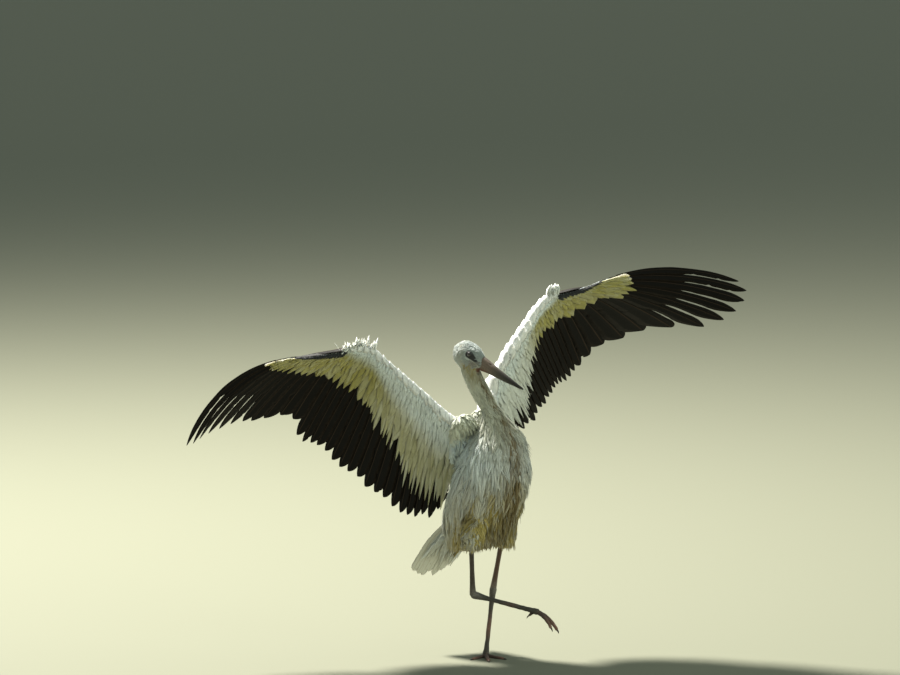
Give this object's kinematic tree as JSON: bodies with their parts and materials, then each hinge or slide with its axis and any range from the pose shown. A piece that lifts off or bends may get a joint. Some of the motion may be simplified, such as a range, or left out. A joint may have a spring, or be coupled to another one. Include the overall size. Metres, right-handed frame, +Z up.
{
  "type": "white stork",
  "caption": "Life-size young white stork standing on one leg, the other foot lifted, with both wings spread and the long bill lowered.",
  "frame": {"origin": "on the floor, at the middle of the flat underside of the standing foot's middle toe, below the bird's balance point", "axes": "+Z up; -Y is the way the trunk faces; +X is the bird's left side, and the wings' span runs mostly along X"},
  "size_m": [1.3477, 0.9451, 1.1538],
  "materials": {
    "white_plumage": "soft matt feathers",
    "black_plumage": "smooth feathers with a low sheen",
    "bill_horn": "satin horn",
    "leg_skin": "matt scaled skin",
    "claw_horn": "satin horn",
    "eye": "wet gloss"
  },
  "bodies": {
    "root": {"bill_lower": "bill_horn", "bill_upper": "bill_horn", "claw_left_hind": "claw_horn", "claw_left_inner": "claw_horn", "claw_left_middle": "claw_horn", "claw_left_outer": "claw_horn", "claw_right_hind": "claw_horn", "claw_right_inner": "claw_horn", "claw_right_middle": "claw_horn", "claw_right_outer": "claw_horn", "eye_left": "eye", "eye_right": "eye", "head": "white_plumage", "neck_lower": "white_plumage", "neck_upper": "white_plumage", "scapulars_left": "white_plumage", "scapulars_right": "white_plumage", "shank_left": "leg_skin", "shank_right": "leg_skin", "tail": "white_plumage", "tarsus_left": "leg_skin", "tarsus_right": "leg_skin", "thigh_left": "white_plumage", "thigh_right": "white_plumage", "toe_left_hind": "leg_skin", "toe_left_inner": "leg_skin", "toe_left_middle": "leg_skin", "toe_left_outer": "leg_skin", "toe_right_hind": "leg_skin", "toe_right_inner": "leg_skin", "toe_right_middle": "leg_skin", "toe_right_outer": "leg_skin", "trunk": "white_plumage", "wing_left_forearm": "white_plumage", "wing_left_hand": "white_plumage", "wing_left_primaries": "black_plumage", "wing_left_secondaries": "black_plumage", "wing_left_tertials": "black_plumage", "wing_left_upper_arm": "white_plumage", "wing_right_forearm": "white_plumage", "wing_right_hand": "white_plumage", "wing_right_primaries": "black_plumage", "wing_right_secondaries": "black_plumage", "wing_right_tertials": "black_plumage", "wing_right_upper_arm": "white_plumage"}
  },
  "joints": []
}
